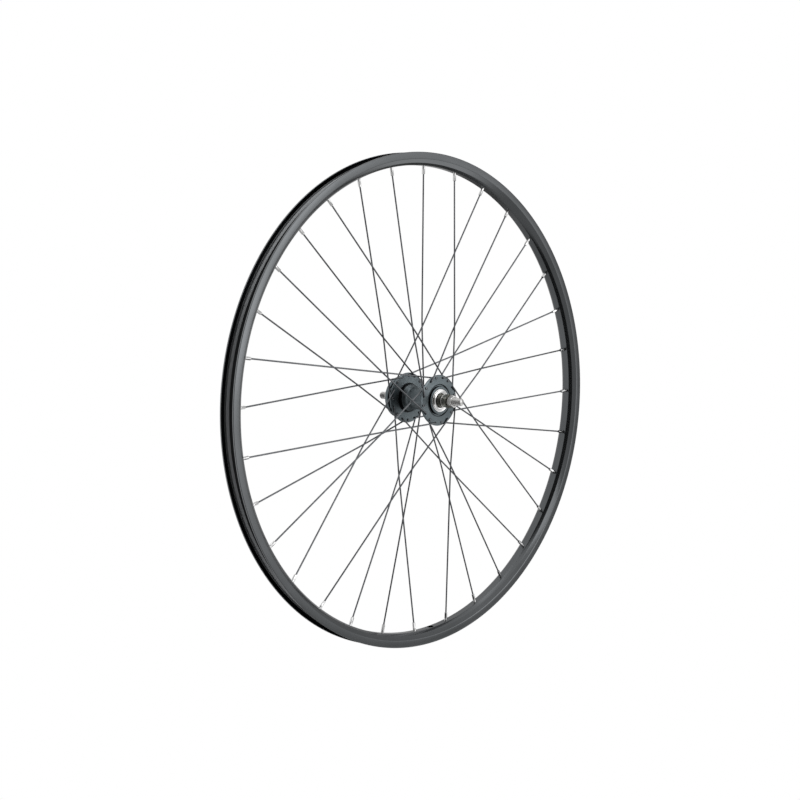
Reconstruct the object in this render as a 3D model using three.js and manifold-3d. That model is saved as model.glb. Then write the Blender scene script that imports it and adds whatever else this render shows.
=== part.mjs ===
// A spoked front bicycle wheel with a disc-brake hub: grooved rim, rim tape, laced spokes, and a
// cup-and-cone hub turning on a solid nutted axle.
//
// Millimetres, +Z up. The axle lies along Y and the origin is on it, midway between the locknut
// faces. The disc side is +Y and the plain side is -Y.

import * as THREE from 'three';
import { mergeVertices } from 'three/addons/utils/BufferGeometryUtils.js';
import Module from 'manifold-3d';

const wasm = await Module();
wasm.setup();

// ---------------------------------------------------------------- driving dimensions

const touchGap = 0.3; // between faces that rest on each other

// rim, in a section whose height runs outwards from the axle
const rimWidth = 25;
const rimHeight = 16.8; // hook edge to spoke bed
const rimOffset = 3.2; // rim's middle plane, towards the disc side
const beadRadius = 311; // where the tyre's bead seats
const hookHeight = 6; // hook edge above the bead seat
const bedWidth = 9.2; // flat of the spoke bed
const creaseWidth = 17.8; // across the two folds beside the spoke bed
const creaseHeight = 2.85; // fold above the spoke bed
const sideHeight = 9; // straight side wall, from the hook edge down
const hookThickness = 1.6;
const hookLip = 0.5; // how far the hook leans in over the bead
const hookLipHeight = 2.5; // from the hook edge down to where the lean ends
const hookBevel = 0.5;
const rimWall = 1.5;
const wellWidth = 10.4; // drop centre of the tyre channel
const wellDepth = 2.6; // below the bead seat
const wellFlare = 1.6; // how far each side of the well leans out
const boxCorner = 0.6; // metal left in the corners of the closed box inside
const rimSegments = 64;

// rim tape
const tapeThickness = 0.5;
const tapeSideGap = 0.4; // to each side of the well

// spokes and nipples
const spokeCount = 32;
const crossings = 3;
const firstHoleDeg = 9.65; // rim hole nearest +X, counted from +X towards +Z
const spokeDiameter = 2;
const spokeHoleClearance = 0.3; // on the radius, in the flange
const spokeHeadDiameter = 3.7;
const spokeHeadHeight = 0.9;
const spokeHeadTaper = 0.8; // top of the head as a share of its base
const elbowRadius = 1.6;
const nippleDiameter = 4;
const nippleHeadDiameter = 5.8;
const nippleHeadHeight = 2.4;
const nippleHeadTaper = 0.5; // height of the cone under the head
const nippleHeadRest = 0.75; // gap under the head, so that its cone clears the hole's edge
const nippleLength = 11; // below the spoke bed
const nippleHoleClearance = 0.35; // on the radius, in the rim
const nippleHoleReach = 1.2; // beyond each face of the wall that the hole goes through
const nippleAccessDiameter = 8.4; // hole in the tyre side of the rim
const valveHoleDiameter = 8.5;
const valvePlace = 23.5; // spoke spacings round from the first hole
const spokeSides = 6;
const drillSides = 6;
const screwSides = 8;
const valveSides = 12;

// hub shell
const overLocknuts = 100; // between the faces that meet the fork
const nearFlangeInset = 18.9; // locknut face to the middle of the plain side's flange
const farFlangeInset = 26.5; // locknut face to the middle of the disc side's flange
const spokeHolePcd = 58;
const flangeMargin = 3.5; // flange beyond its circle of holes
const flangeThickness = 2.4;
const flangeBevel = 0.6;
const barrelBore = 15;
const barrelWall = 6.5;
const rootWall = 4.2; // boss behind each flange, over the bearing cup's seat
const rootLength = 3.4;
const rootTaper = 6.5;
const hubSegments = 32;
const nearBossWall = 3.15; // over the dust cap's seat
const nearEndInset = 15; // locknut face to the shell's plain end
const grooveWidth = 1.7; // dark ring round the plain side's boss
const grooveDepth = 1;
const grooveLip = 0.9;
const grooveLipRise = 0.5; // lip's edge proud of the flange
const rotorFaceInset = 10.7; // locknut face to the face that the rotor seats on
const rotorMountThickness = 5.6;
const rotorMountBevel = 0.5;
const rotorScrewPcd = 44;
const rotorMountMargin = 4.5; // mount beyond its circle of screws
const rotorNeckMargin = 3; // circle of screws in to the neck
const rotorScrewCount = 6;
const rotorScrewDiameter = 4.2; // tapping size of an M5 thread
const spigotWall = 2.6; // over the dust cap's seat
const spigotLength = 1.7;

// bearings: each is placed by the plane of its ball centres
const ballDiameter = 4.76;
const ballsPerSide = 10;
const nearBallInset = 4.8; // ball centres below the shell's end
const farBallInset = 7.4; // deeper, so that the cone's wrench flats fit beside the rotor
const raceClearance = 0.35;
const cupRaceEnd = 75; // degrees round the ball, from its outermost point
const coneRaceStart = 180;
const coneRaceEnd = 250;
const raceSteps = 4;
const cupWall = 1.47; // at the race's widest point
const cupLength = 6.4;
const cupFloor = 0.4; // cup's inner end past its middle
const cageThickness = 1.2;
const cageWidth = 2.14;
const capStep = 0.7; // dust cap's radius over the cup's
const capThickness = 1.4;
const capSeatDepth = 1.6;
const capWeb = 0.9; // thickness at the cap's inner edge, less its rise
const capRise = 0.5; // inner edge proud of the rim
const capRim = 1.2;
const capConeGap = 0.6; // between the cap's inner edge and the cone

// axle and what is threaded on it
const axleDiameter = 9.5;
const axleProud = 22; // beyond each locknut's face
const axleChamfer = 1;
const threadClearance = 0.3;
const locknutFlats = 15;
const locknutHeight = 6.6;
const lockWasherDiameter = 16.4;
const lockWasherThickness = 1;
const coneFlats = 15;
const coneFlatDepth = 0.8;
const coneFlatLength = 3;
const coneNeckRun = 1.2; // neck beyond its flats
const coneCollar = 0.7; // collar's radius over the neck's
const coneCollarTaper = 0.6;
const coneWall = 2.02; // between the axle's hole and the race at its deepest
const coneShoulder = 0.2; // collar's start past the race
const coneTipTaper = 0.7;
const coneTipLength = 1.2; // race's start before the ball's middle
const coneTipReach = 0.4; // tip's end past the race
const axleWasherDiameter = 17.4;
const axleWasherThickness = 1.7;
const axleNutFlats = 14;
const axleNutHeight = 7;
const turnedSegments = 18;

// ---------------------------------------------------------------- geometry helpers

const yAxis = new THREE.Vector3(0, 1, 0);

// Turns a closed three.js geometry into a solid, facing outwards.
function solid(geometry) {
  const bare = geometry.clone();
  bare.deleteAttribute('normal');
  bare.deleteAttribute('uv');
  const merged = mergeVertices(bare, 1e-4);
  const vertProperties = new Float32Array(merged.attributes.position.array);
  const triVerts = new Uint32Array(merged.index.array);
  if (signedVolume(vertProperties, triVerts) < 0) {
    for (let i = 0; i < triVerts.length; i += 3) {
      [triVerts[i + 1], triVerts[i + 2]] = [triVerts[i + 2], triVerts[i + 1]];
    }
  }
  const whole = withoutSlivers(triVerts);
  return new wasm.Manifold(new wasm.Mesh({ numProp: 3, vertProperties, triVerts: whole }));
}

function signedVolume(points, faces) {
  const a = new THREE.Vector3();
  const b = new THREE.Vector3();
  const c = new THREE.Vector3();
  let sum = 0;
  for (let i = 0; i < faces.length; i += 3) {
    a.fromArray(points, 3 * faces[i]);
    b.fromArray(points, 3 * faces[i + 1]);
    c.fromArray(points, 3 * faces[i + 2]);
    sum += a.dot(b.cross(c));
  }
  return sum / 6;
}

// Drops triangles that merging has folded to a line, as at the poles of a turned shape.
function withoutSlivers(faces) {
  const kept = [];
  for (let i = 0; i < faces.length; i += 3) {
    const [a, b, c] = faces.slice(i, i + 3);
    if (a !== b && b !== c && c !== a) {
      kept.push(a, b, c);
    }
  }
  return new Uint32Array(kept);
}

function geometryOf(manifold) {
  const mesh = manifold.getMesh();
  const geometry = new THREE.BufferGeometry();
  const points = new Float32Array(3 * mesh.numVert);
  for (let i = 0; i < mesh.numVert; i += 1) {
    points.set(mesh.vertProperties.subarray(i * mesh.numProp, i * mesh.numProp + 3), 3 * i);
  }
  geometry.setAttribute('position', new THREE.BufferAttribute(points, 3));
  geometry.setIndex(new THREE.BufferAttribute(new Uint32Array(mesh.triVerts), 1));
  geometry.computeVertexNormals();
  return geometry;
}

// A closed section [[radius, y], ...] turned round the Y axis.
function turned(section, segments) {
  const points = section.map(([radius, y]) => new THREE.Vector2(radius, y));
  points.push(points[0].clone());
  return new THREE.LatheGeometry(points, segments);
}

// A ring with a square section.
function ring(outer, inner, y0, y1, segments) {
  return turned([[inner, y0], [outer, y0], [outer, y1], [inner, y1]], segments);
}

// A cylinder from one point to another.
function rod(radius, from, to, sides) {
  const along = new THREE.Vector3().subVectors(to, from);
  const geometry = new THREE.CylinderGeometry(radius, radius, along.length(), sides);
  const turn = new THREE.Quaternion().setFromUnitVectors(yAxis, along.clone().normalize());
  geometry.applyQuaternion(turn);
  const middle = new THREE.Vector3().addVectors(from, to).multiplyScalar(0.5);
  geometry.translate(middle.x, middle.y, middle.z);
  return geometry;
}

// A hexagonal bar along Y with a round hole and turned-down corners.
function hexNut(flats, hole, y0, y1) {
  const corner = flats / Math.sqrt(3);
  const bar = new THREE.CylinderGeometry(corner, corner, Math.abs(y1 - y0), 6);
  bar.translate(0, (y0 + y1) / 2, 0);
  const bevel = corner - flats / 2;
  const low = Math.min(y0, y1);
  const high = Math.max(y0, y1);
  const skin = turned(
    [
      [hole, low],
      [flats / 2, low],
      [corner, low + bevel],
      [corner, high - bevel],
      [flats / 2, high],
      [hole, high],
    ],
    turnedSegments,
  );
  return solid(bar).intersect(solid(skin));
}

function onCircle(radius, degrees, y) {
  const angle = THREE.MathUtils.degToRad(degrees);
  return new THREE.Vector3(radius * Math.cos(angle), y, radius * Math.sin(angle));
}

// ---------------------------------------------------------------- materials

function material(color, roughness, metalness) {
  return new THREE.MeshStandardMaterial({ color, roughness, metalness });
}

const paints = {
  rim: () => material(0x2b2d30, 0.45, 0.6),
  tape: () => material(0x55585c, 0.7, 0),
  spoke: () => material(0x9a9c9f, 0.3, 1),
  hub: () => material(0x46505a, 0.4, 0.7),
  steel: () => material(0x8c8c88, 0.35, 1),
  darkSteel: () => material(0x4a4a46, 0.5, 0.9),
  chrome: () => material(0xdcdcdc, 0.15, 1),
};

const wheel = new THREE.Group();

function addPiece(name, geometry, paint) {
  const mesh = new THREE.Mesh(geometry, paint());
  mesh.name = name;
  wheel.add(mesh);
}

// ---------------------------------------------------------------- rim and tape

const rimRadius = beadRadius + hookHeight;
const bedRadius = rimRadius - rimHeight;
const wellRadius = beadRadius - wellDepth;
const spokeStep = 360 / spokeCount;
const valveDeg = firstHoleDeg + valvePlace * spokeStep;
const halfWidth = rimWidth / 2;
const innerHalf = halfWidth - hookThickness;

function mirrored(half) {
  const other = half.map(([radius, y]) => [radius, -y]).reverse();
  return [...half, ...other];
}

function rimOutline() {
  return mirrored([
    [bedRadius, bedWidth / 2],
    [bedRadius + creaseHeight, creaseWidth / 2],
    [rimRadius - sideHeight, halfWidth],
    [rimRadius - hookBevel, halfWidth],
    [rimRadius, halfWidth - hookBevel],
    [rimRadius, innerHalf - hookLip],
    [rimRadius - hookLipHeight, innerHalf],
    [beadRadius, innerHalf],
    [beadRadius, wellWidth / 2 + wellFlare],
    [wellRadius, wellWidth / 2],
  ]);
}

// The closed box between the two walls of the rim.
function rimHollow() {
  return mirrored([
    [bedRadius + rimWall, bedWidth / 2 - boxCorner],
    [bedRadius + creaseHeight + rimWall - boxCorner, creaseWidth / 2 - boxCorner * 2],
    [rimRadius - sideHeight + boxCorner, halfWidth - boxCorner * 3],
    [wellRadius - rimWall, wellWidth / 2 + boxCorner],
  ]);
}

function valveHole(y) {
  const inside = onCircle(bedRadius - rimWall, valveDeg, y);
  const outside = onCircle(rimRadius, valveDeg, y);
  return solid(rod(valveHoleDiameter / 2, inside, outside, valveSides));
}

function rimSolid() {
  let rim = solid(turned(rimOutline(), rimSegments)).subtract(solid(turned(rimHollow(), rimSegments)));
  rim = rim.translate([0, rimOffset, 0]);
  for (const lace of laces) {
    const start = lace.seat.clone().addScaledVector(lace.along, -nippleHoleReach);
    const end = lace.seat.clone().addScaledVector(lace.along, rimWall + nippleHoleReach);
    rim = rim.subtract(solid(rod(nippleDiameter / 2 + nippleHoleClearance, start, end, drillSides)));
    const low = onCircle(wellRadius - rimWall - nippleHoleReach, lace.rimDeg, rimOffset);
    const high = onCircle(wellRadius + nippleHoleReach, lace.rimDeg, rimOffset);
    rim = rim.subtract(solid(rod(nippleAccessDiameter / 2, low, high, drillSides)));
  }
  return rim.subtract(valveHole(rimOffset));
}

function tapeSolid() {
  const inner = wellRadius + touchGap;
  const half = wellWidth / 2 - tapeSideGap;
  const band = ring(inner + tapeThickness, inner, -half, half, rimSegments);
  return solid(band).translate([0, rimOffset, 0]).subtract(valveHole(rimOffset));
}

// ---------------------------------------------------------------- lacing

const nearFlangeY = nearFlangeInset - overLocknuts / 2;
const farFlangeY = overLocknuts / 2 - farFlangeInset;
const flangeRadius = spokeHolePcd / 2 + flangeMargin;
const pairAngle = spokeStep * (2 * crossings); // hub hole from rim hole, round the axle
const runOffset = flangeThickness / 2 + touchGap + spokeDiameter / 2;
const holeRadius = spokeDiameter / 2 + spokeHoleClearance;
const flangeFlat = spokeHolePcd / 2 + holeRadius; // radius where the flange's bevel starts

// How far a spoke runs from its hub hole until it is `radius` from the axle.
function runTo(radius) {
  const angle = THREE.MathUtils.degToRad(pairAngle);
  const hole = new THREE.Vector2(Math.cos(angle), Math.sin(angle)).multiplyScalar(spokeHolePcd / 2);
  const toRim = new THREE.Vector2(bedRadius, 0).sub(hole).normalize();
  const passing = Math.abs(hole.cross(toRim));
  return Math.sqrt(radius ** 2 - passing ** 2) - hole.dot(toRim);
}

// A spoke that runs outside its flange leans in towards the rim, so it starts further out by what
// it loses before it has crossed the flange's flat and its bevelled edge.
function leanAllowance(flangeY) {
  const slope = Math.abs(flangeY - rimOffset) / bedRadius;
  const atFlat = slope * runTo(flangeFlat);
  const atEdge = slope * runTo(flangeRadius) - flangeBevel;
  return Math.max(atFlat, atEdge, 0);
}

// Where each spoke runs. Even spokes serve the plain side's flange and odd ones the disc side's.
// Of each flange's spokes, every other one has its head outside and runs inside the flange.
function laceOf(index) {
  const plainSide = index % 2 === 0;
  const headOutside = Math.floor(index / 2) % 2 === 0;
  const rimDeg = firstHoleDeg + index * spokeStep;
  const flangeY = plainSide ? nearFlangeY : farFlangeY;
  const outboard = plainSide ? -1 : 1;
  const run = headOutside ? -outboard : outboard;
  const hubDeg = rimDeg + (headOutside ? pairAngle : -pairAngle);
  const offset = runOffset + (headOutside ? 0 : leanAllowance(flangeY));
  const elbow = onCircle(spokeHolePcd / 2, hubDeg, flangeY + run * offset);
  const headUnder = flangeY - run * (flangeThickness / 2 + touchGap);
  const head = onCircle(spokeHolePcd / 2, hubDeg, headUnder);
  const seat = onCircle(bedRadius, rimDeg, rimOffset);
  const along = new THREE.Vector3().subVectors(seat, elbow).normalize();
  return { rimDeg, hubDeg, flangeY, run, elbow, head, seat, along };
}

const laces = Array.from({ length: spokeCount }, (_, index) => laceOf(index));

// The wire's middle line: through the flange, round the elbow, then straight to the rim. Its steps
// fall on its own joints and on the elbow's arc, so that the long run costs one step.
class WireLine extends THREE.Curve {
  constructor(lace, end) {
    super();
    const start = lace.head.clone().setY(lace.head.y - (lace.run * spokeHeadHeight) / 2);
    const before = lace.elbow.clone().setY(lace.elbow.y - lace.run * elbowRadius);
    const after = lace.elbow.clone().addScaledVector(lace.along, elbowRadius);
    const bend = new THREE.QuadraticBezierCurve3(before, lace.elbow, after);
    this.stops = [start, ...bend.getPoints(2), end];
  }

  getPoint(t, target = new THREE.Vector3()) {
    const last = this.stops.length - 1;
    const place = Math.min(t * last, last);
    const step = Math.min(Math.floor(place), last - 1);
    return target.lerpVectors(this.stops[step], this.stops[step + 1], place - step);
  }

  getUtoTmapping(u) {
    return u;
  }
}

function wireSection() {
  const section = new THREE.Shape();
  const corners = Array.from({ length: spokeSides }, (_, i) => (i * 2 * Math.PI) / spokeSides);
  section.setFromPoints(corners.map((a) => new THREE.Vector2(Math.cos(a), Math.sin(a))
    .multiplyScalar(spokeDiameter / 2)));
  return section;
}

// A turned piece whose axis is laid from a point along a direction.
function turnedAlong(section, origin, along, segments) {
  const geometry = turned(section, segments);
  geometry.applyQuaternion(new THREE.Quaternion().setFromUnitVectors(yAxis, along));
  geometry.translate(origin.x, origin.y, origin.z);
  return geometry;
}

// The nipple is one body with its spoke, which is threaded and tight in it.
function nippleGeometry(lace) {
  const shank = nippleDiameter / 2;
  const headBase = rimWall + nippleHeadRest;
  return turnedAlong(
    [
      [0, -nippleLength],
      [shank, -nippleLength],
      [shank, headBase],
      [nippleHeadDiameter / 2, headBase + nippleHeadTaper],
      [nippleHeadDiameter / 2, headBase + nippleHeadHeight],
      [0, headBase + nippleHeadHeight],
    ],
    lace.seat,
    lace.along,
    spokeSides,
  );
}

function spokeSolid(lace) {
  const end = lace.seat.clone().addScaledVector(lace.along, rimWall);
  const line = new WireLine(lace, end);
  const wire = new THREE.ExtrudeGeometry(wireSection(), {
    extrudePath: line,
    steps: line.stops.length - 1,
    bevelEnabled: false,
  });
  const away = new THREE.Vector3(0, -lace.run, 0);
  const headRadius = spokeHeadDiameter / 2;
  const head = turnedAlong(
    [
      [0, 0],
      [headRadius, 0],
      [headRadius * spokeHeadTaper, spokeHeadHeight],
      [0, spokeHeadHeight],
    ],
    lace.head,
    away,
    spokeSides,
  );
  return solid(wire).add(solid(head)).add(solid(nippleGeometry(lace)));
}

// ---------------------------------------------------------------- hub shell

const ballRadius = ballDiameter / 2;
const raceRadius = ballRadius + raceClearance;
const axleHole = axleDiameter / 2 + threadClearance;
const ballPitch = axleHole + coneWall + raceRadius;
const cupRadius = ballPitch + raceRadius + cupWall;
const capRadius = cupRadius + capStep;
const halfOver = overLocknuts / 2;
const boreRadius = barrelBore / 2;
const cupSeat = cupRadius + touchGap;
const capSeat = capRadius + touchGap;
const nearEndY = nearEndInset - halfOver;
const rotorFaceY = halfOver - rotorFaceInset;
const farEndY = rotorFaceY + spigotLength;
const nearBallY = nearEndY + nearBallInset;
const farBallY = farEndY - farBallInset;
const cupInboard = cupLength / 2 + cupFloor; // from the ball centres to the cup's inner end

// One flange's edge, from its -Y face round to its +Y face.
function flangeEdge(flangeY) {
  const face = flangeThickness / 2;
  return [
    [flangeFlat, flangeY - face],
    [flangeRadius, flangeY - face + flangeBevel],
    [flangeRadius, flangeY + face - flangeBevel],
    [flangeFlat, flangeY + face],
  ];
}

function hubOutline() {
  const nearOuter = nearFlangeY - flangeThickness / 2;
  const nearInner = nearFlangeY + flangeThickness / 2;
  const farOuter = farFlangeY + flangeThickness / 2;
  const farInner = farFlangeY - flangeThickness / 2;
  const boss = capSeat + nearBossWall;
  const root = cupSeat + rootWall;
  const barrel = boreRadius + barrelWall;
  const neck = rotorScrewPcd / 2 - rotorNeckMargin;
  const mount = rotorScrewPcd / 2 + rotorMountMargin;
  const spigot = capSeat + spigotWall;
  const mountBack = rotorFaceY - rotorMountThickness;
  return [
    [capSeat, nearEndY],
    [boss, nearEndY],
    [boss, nearOuter + grooveDepth],
    [boss + grooveWidth, nearOuter + grooveDepth],
    [boss + grooveWidth, nearOuter - grooveLipRise],
    [boss + grooveWidth + grooveLip, nearOuter - grooveLipRise],
    [boss + grooveWidth + grooveLip, nearOuter],
    ...flangeEdge(nearFlangeY),
    [root, nearInner],
    [root, nearInner + rootLength],
    [barrel, nearInner + rootLength + rootTaper],
    [barrel, farInner - rootLength - rootTaper],
    [root, farInner - rootLength],
    [root, farInner],
    ...flangeEdge(farFlangeY),
    [neck, farOuter],
    [neck, mountBack],
    [mount, mountBack],
    [mount, rotorFaceY - rotorMountBevel],
    [mount - rotorMountBevel, rotorFaceY],
    [spigot, rotorFaceY],
    [spigot, farEndY],
    [capSeat, farEndY],
    [capSeat, farEndY - capSeatDepth],
    [cupSeat, farEndY - capSeatDepth],
    [cupSeat, farBallY - cupInboard - touchGap],
    [boreRadius, farBallY - cupInboard - touchGap],
    [boreRadius, nearBallY + cupInboard + touchGap],
    [cupSeat, nearBallY + cupInboard + touchGap],
    [cupSeat, nearEndY + capSeatDepth],
    [capSeat, nearEndY + capSeatDepth],
  ];
}

function hubSolid() {
  let shell = solid(turned(hubOutline(), hubSegments));
  const reach = flangeThickness;
  for (const lace of laces) {
    const low = onCircle(spokeHolePcd / 2, lace.hubDeg, lace.flangeY - reach);
    const high = onCircle(spokeHolePcd / 2, lace.hubDeg, lace.flangeY + reach);
    shell = shell.subtract(solid(rod(holeRadius, low, high, drillSides)));
  }
  for (let i = 0; i < rotorScrewCount; i += 1) {
    const degrees = ((i + 0.5) * 360) / rotorScrewCount;
    const low = onCircle(rotorScrewPcd / 2, degrees, rotorFaceY - rotorMountThickness - spigotLength);
    const high = onCircle(rotorScrewPcd / 2, degrees, rotorFaceY + spigotLength);
    shell = shell.subtract(solid(rod(rotorScrewDiameter / 2, low, high, screwSides)));
  }
  return shell;
}

// ---------------------------------------------------------------- bearings

const coneNeckRadius = coneFlats / 2 + coneFlatDepth;
const coneRadius = coneNeckRadius + coneCollar;

// Points on a race, round a ball centre. 0 degrees points away from the axle and 90 degrees along
// the axle, to the middle of the hub.
function race(ballY, out, fromDeg, toDeg) {
  return Array.from({ length: raceSteps }, (_, i) => {
    const angle = THREE.MathUtils.degToRad(fromDeg + ((toDeg - fromDeg) * i) / (raceSteps - 1));
    return [ballPitch + raceRadius * Math.cos(angle), ballY - out * raceRadius * Math.sin(angle)];
  });
}

function cupGeometry(ballY, out) {
  const inboard = ballY - out * cupInboard;
  const outboard = inboard + out * cupLength;
  const raceEnd = THREE.MathUtils.degToRad(cupRaceEnd);
  return turned(
    [
      [cupRadius, inboard],
      [cupRadius, outboard],
      [ballPitch + raceRadius, outboard],
      ...race(ballY, out, 0, cupRaceEnd),
      [ballPitch + raceRadius * Math.cos(raceEnd), inboard],
    ],
    turnedSegments,
  );
}

function ballSetSolid(ballY) {
  const half = cageWidth / 2;
  const outer = ballPitch + cageThickness / 2;
  const cage = ring(outer, outer - cageThickness, ballY - half, ballY + half, turnedSegments);
  let set = solid(cage);
  for (let i = 0; i < ballsPerSide; i += 1) {
    const ball = new THREE.OctahedronGeometry(ballRadius, 1);
    const centre = onCircle(ballPitch, (i * 360) / ballsPerSide, ballY);
    ball.translate(centre.x, centre.y, centre.z);
    set = set.add(solid(ball));
  }
  return set;
}

function capGeometry(endY, out) {
  const inner = coneRadius + capConeGap;
  const base = endY - out * (capSeatDepth - touchGap);
  return turned(
    [
      [inner, base + out * (capThickness - capWeb)],
      [capRadius - capRim, base],
      [capRadius, base],
      [capRadius, base + out * capThickness],
      [capRadius - capRim, base + out * capThickness],
      [inner, base + out * (capThickness + capRise)],
    ],
    turnedSegments,
  );
}

// ---------------------------------------------------------------- axle stack

const lockWasherOut = halfOver - locknutHeight - touchGap;
const coneOut = lockWasherOut - lockWasherThickness - touchGap;

function coneSolid(ballY, out) {
  const end = out * coneOut;
  const shoulder = ballY + out * (raceRadius + coneShoulder);
  const neck = end - out * (coneFlatLength + coneNeckRun);
  const inboard = ballY - out * (raceRadius + coneTipReach);
  const body = turned(
    [
      [axleHole, inboard],
      [ballPitch - raceRadius - coneTipTaper, inboard],
      [ballPitch - raceRadius, ballY - out * coneTipLength],
      ...race(ballY, out, coneRaceStart, coneRaceEnd),
      [coneRadius, shoulder],
      [coneRadius, neck - out * coneCollarTaper],
      [coneNeckRadius, neck],
      [coneNeckRadius, end],
      [axleHole, end],
    ],
    turnedSegments,
  );
  let cone = solid(body);
  for (const side of [-1, 1]) {
    const flat = new THREE.BoxGeometry(coneRadius * 2, coneFlatLength, coneRadius * 2);
    const middle = end - (out * coneFlatLength) / 2;
    flat.translate(0, middle, side * (coneFlats / 2 + coneRadius));
    cone = cone.subtract(solid(flat));
  }
  return cone;
}

function axleGeometry() {
  const radius = axleDiameter / 2;
  const half = halfOver + axleProud;
  const points = [
    [0, -half],
    [radius - axleChamfer, -half],
    [radius, -half + axleChamfer],
    [radius, half - axleChamfer],
    [radius - axleChamfer, half],
    [0, half],
  ];
  return new THREE.LatheGeometry(points.map(([r, y]) => new THREE.Vector2(r, y)), turnedSegments);
}

// ---------------------------------------------------------------- assembly

addPiece('rim', geometryOf(rimSolid()), paints.rim);
addPiece('rim_tape', geometryOf(tapeSolid()), paints.tape);

laces.forEach((lace, index) => {
  const number = String(index + 1).padStart(2, '0');
  addPiece(`spoke_${number}`, geometryOf(spokeSolid(lace)), paints.spoke);
});

addPiece('hub_shell', geometryOf(hubSolid()), paints.hub);

const sides = [
  { name: 'plain_side', out: -1, ballY: nearBallY, endY: nearEndY },
  { name: 'disc_side', out: 1, ballY: farBallY, endY: farEndY },
];

for (const { name, out, ballY, endY } of sides) {
  addPiece(`bearing_cup_${name}`, geometryOf(solid(cupGeometry(ballY, out))), paints.steel);
  addPiece(`ball_set_${name}`, geometryOf(ballSetSolid(ballY)), paints.steel);
  addPiece(`dust_cap_${name}`, geometryOf(solid(capGeometry(endY, out))), paints.chrome);
  addPiece(`cone_${name}`, geometryOf(coneSolid(ballY, out)), paints.darkSteel);

  const washerRadius = lockWasherDiameter / 2;
  const washer = ring(washerRadius, axleHole, out * (lockWasherOut - lockWasherThickness),
    out * lockWasherOut, turnedSegments);
  addPiece(`lock_washer_${name}`, geometryOf(solid(washer)), paints.steel);

  const locknut = hexNut(locknutFlats, axleHole, out * (halfOver - locknutHeight), out * halfOver);
  addPiece(`locknut_${name}`, geometryOf(locknut), paints.darkSteel);

  const washerY = halfOver + touchGap;
  const axleWasher = ring(axleWasherDiameter / 2, axleHole, out * washerY,
    out * (washerY + axleWasherThickness), turnedSegments);
  addPiece(`axle_washer_${name}`, geometryOf(solid(axleWasher)), paints.darkSteel);

  const nutY = washerY + axleWasherThickness + touchGap;
  const nut = hexNut(axleNutFlats, axleHole, out * nutY, out * (nutY + axleNutHeight));
  addPiece(`axle_nut_${name}`, geometryOf(nut), paints.steel);
}

addPiece('axle', geometryOf(solid(axleGeometry())), paints.steel);

export default wheel;
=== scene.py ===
"""The finished look of a spoked front bicycle wheel with a disc hub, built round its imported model.

The wheel's sizes are millimetres and are turned into metres where meshes are made. The camera, the
floor and the lights are placed in metres. The axle lies along Y, the disc side is +Y, and the
origin is on the axle, midway between the locknuts.
"""

import math
import random

import bmesh
import bpy
from mathutils import Matrix, Vector


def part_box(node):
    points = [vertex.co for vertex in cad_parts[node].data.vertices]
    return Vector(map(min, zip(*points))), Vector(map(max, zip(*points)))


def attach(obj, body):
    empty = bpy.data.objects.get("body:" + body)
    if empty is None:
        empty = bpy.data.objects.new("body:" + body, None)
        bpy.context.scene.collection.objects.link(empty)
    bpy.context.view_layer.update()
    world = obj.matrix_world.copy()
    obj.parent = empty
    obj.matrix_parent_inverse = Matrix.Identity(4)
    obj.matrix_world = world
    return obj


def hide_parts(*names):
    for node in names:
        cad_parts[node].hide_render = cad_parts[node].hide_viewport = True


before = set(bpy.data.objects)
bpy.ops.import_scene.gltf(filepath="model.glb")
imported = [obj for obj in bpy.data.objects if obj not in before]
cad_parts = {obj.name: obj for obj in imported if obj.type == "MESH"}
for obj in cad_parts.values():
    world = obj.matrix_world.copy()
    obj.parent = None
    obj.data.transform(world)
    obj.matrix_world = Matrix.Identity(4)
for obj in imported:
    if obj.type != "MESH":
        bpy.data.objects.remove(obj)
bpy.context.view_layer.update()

MM = 0.001
TURN = 2 * math.pi
SHARP = 35  # degrees between two faces from which their edge is shown sharp
random.seed(7)

# ------------------------------------------------------------------ sizes read from the frame


def box_mm(node):
    low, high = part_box(node)
    return [v / MM for v in low], [v / MM for v in high]


RIM_LOW, RIM_HIGH = box_mm("rim")
HUB_LOW, HUB_HIGH = box_mm("hub_shell")
AXLE_HALF = box_mm("axle")[1][1]

RIM_RADIUS = RIM_HIGH[0]
RIM_WIDTH = RIM_HIGH[1] - RIM_LOW[1]
RIM_Y = (RIM_HIGH[1] + RIM_LOW[1]) / 2
FLOOR_Z = RIM_LOW[2] * MM

# ------------------------------------------------------------------ sizes that repeat the design's

GAP = 0.3  # what the design leaves between two pieces that press on each other

BEAD_RADIUS = 311.0
RIM_HEIGHT = 16.8
BED_RADIUS = RIM_RADIUS - RIM_HEIGHT
RIM_WALL = 1.5
HOOK_WIDTH = 1.6
WELL_RADIUS = BEAD_RADIUS - 2.6
WELL_HALF = 5.2
TAPE_THICKNESS = 0.5
TAPE_HALF = 4.8
VALVE_RADIUS = 4.25
ACCESS_RADIUS = 4.2  # the holes in the well that nipples go in through

SPOKES = 32
SPOKE_STEP = 360 / SPOKES
FIRST_HOLE = 9.65
HUB_LEAD = 6 * SPOKE_STEP  # how far round a spoke's two ends are apart, for three crossings
SPOKE_RADIUS = 1.0
ELBOW_BEND = 2.3
WEAVE_OFFSET = 1.3  # how far along the axle a spoke keeps from the middle of its last crossing
WEAVE_BEND = 12.0  # how far before and after that crossing it starts and ends to bend
WEAVE_RISE = 3.6  # about how far along the axle it comes in between its elbow and that crossing
NIPPLE_RADIUS = 2.0
NIPPLE_FLATS = 3.4
NIPPLE_LENGTH = 11.0
VALVE_ANGLE = FIRST_HOLE + 23.5 * SPOKE_STEP

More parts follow.
